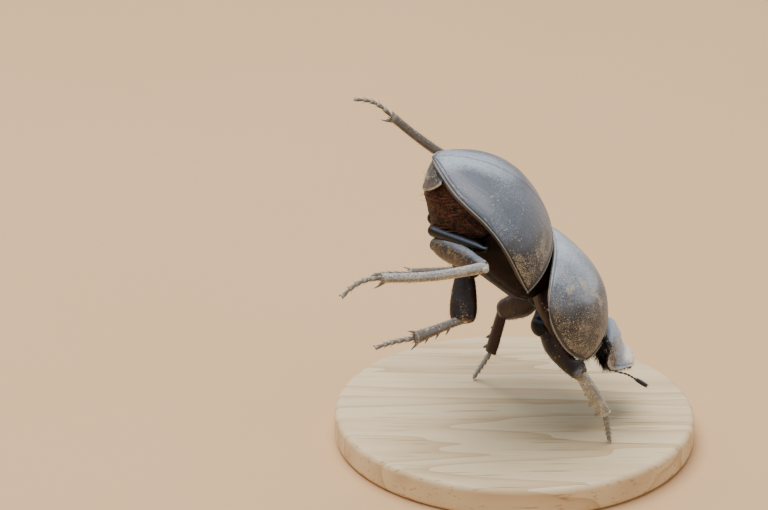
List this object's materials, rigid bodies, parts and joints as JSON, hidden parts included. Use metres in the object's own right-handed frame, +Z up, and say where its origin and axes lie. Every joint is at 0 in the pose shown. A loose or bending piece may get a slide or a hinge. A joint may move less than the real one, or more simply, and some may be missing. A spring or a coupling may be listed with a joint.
{
  "type": "dung beetle",
  "caption": "Life-size display model of a domed flightless dung beetle, head down on its fore feet with the other legs raised behind it, fixed to an oval wooden base.",
  "frame": {"origin": "middle of the base's underside", "axes": "+X the way the head points, +Y to the beetle's left, +Z up, square to the base"},
  "size_m": [0.047, 0.042, 0.0406],
  "materials": {
    "case": "satin blue-grey cuticle under dust",
    "belly": "satin dark red-brown cuticle",
    "glossy": "glossy black cuticle",
    "leg": "satin brown cuticle",
    "dusty": "dust-covered cuticle",
    "eye": "glossy dark eye",
    "base": "pale limed wood"
  },
  "bodies": {
    "root": {"stand_base": "base", "wing_case_right": "case", "wing_case_left": "case", "abdomen": "belly", "pygidium": "case", "hind_thorax": "belly", "pronotum": "case", "prothorax": "belly", "head": "case", "eye_right": "eye", "eye_left": "eye", "mouthparts": "belly", "antenna_right": "leg", "antenna_left": "leg", "fore_right_coxa": "glossy", "fore_right_femur": "leg", "fore_right_tibia": "dusty", "fore_right_tarsus": "dusty", "fore_left_coxa": "glossy", "fore_left_femur": "leg", "fore_left_tibia": "dusty", "fore_left_tarsus": "dusty", "mid_right_coxa": "glossy", "mid_right_femur": "leg", "mid_right_tibia": "dusty", "mid_right_tarsus": "dusty", "mid_left_coxa": "glossy", "mid_left_femur": "leg", "mid_left_tibia": "dusty", "mid_left_tarsus": "dusty", "hind_right_coxa": "glossy", "hind_right_femur": "leg", "hind_right_tibia": "dusty", "hind_right_tarsus": "dusty", "hind_left_coxa": "glossy", "hind_left_femur": "leg", "hind_left_tibia": "dusty", "hind_left_tarsus": "dusty"}
  },
  "joints": []
}
